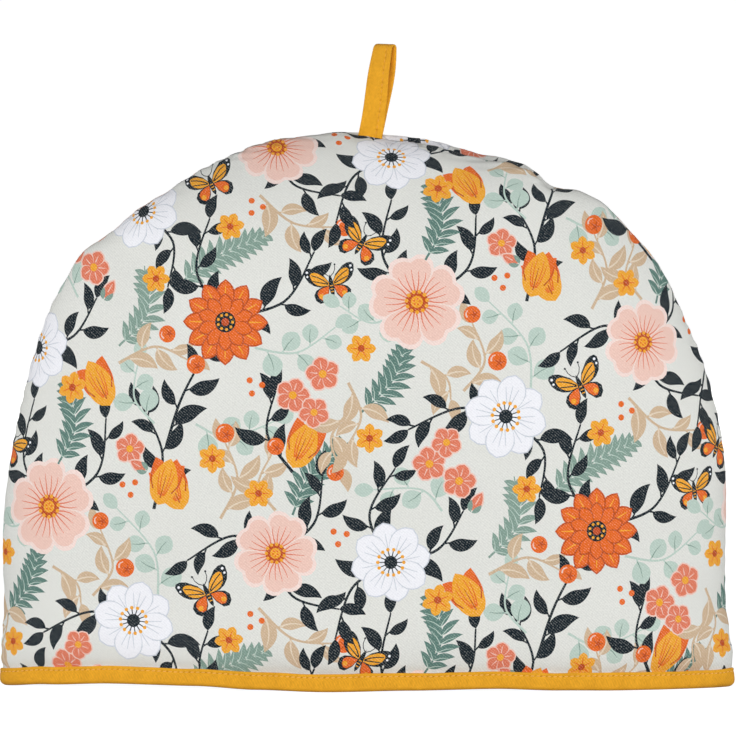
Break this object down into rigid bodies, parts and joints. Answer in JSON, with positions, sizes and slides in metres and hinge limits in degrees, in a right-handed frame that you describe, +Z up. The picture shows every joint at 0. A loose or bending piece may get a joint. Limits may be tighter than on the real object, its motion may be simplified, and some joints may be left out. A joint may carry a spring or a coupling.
{
  "type": "tea cosy",
  "caption": "Padded dome-shaped tea cosy, open at the hem, with a folded binding and a hanging loop.",
  "frame": {"origin": "on the surface that the hem rests on, under the middle of the cosy", "axes": "+Z up, +X to the right across the front panel, -Y out of the front panel"},
  "size_m": [0.3443, 0.114, 0.302],
  "materials": {
    "printed_cotton": "matt cotton twill with a small floral print on a pale ground, padded",
    "amber_cotton": "matt plain-dyed cotton twill tape with a machine-stitched edge"
  },
  "bodies": {
    "root": {"front_panel": "printed_cotton", "back_panel": "printed_cotton", "hem_binding": "amber_cotton", "hanging_loop": "amber_cotton"}
  },
  "joints": []
}
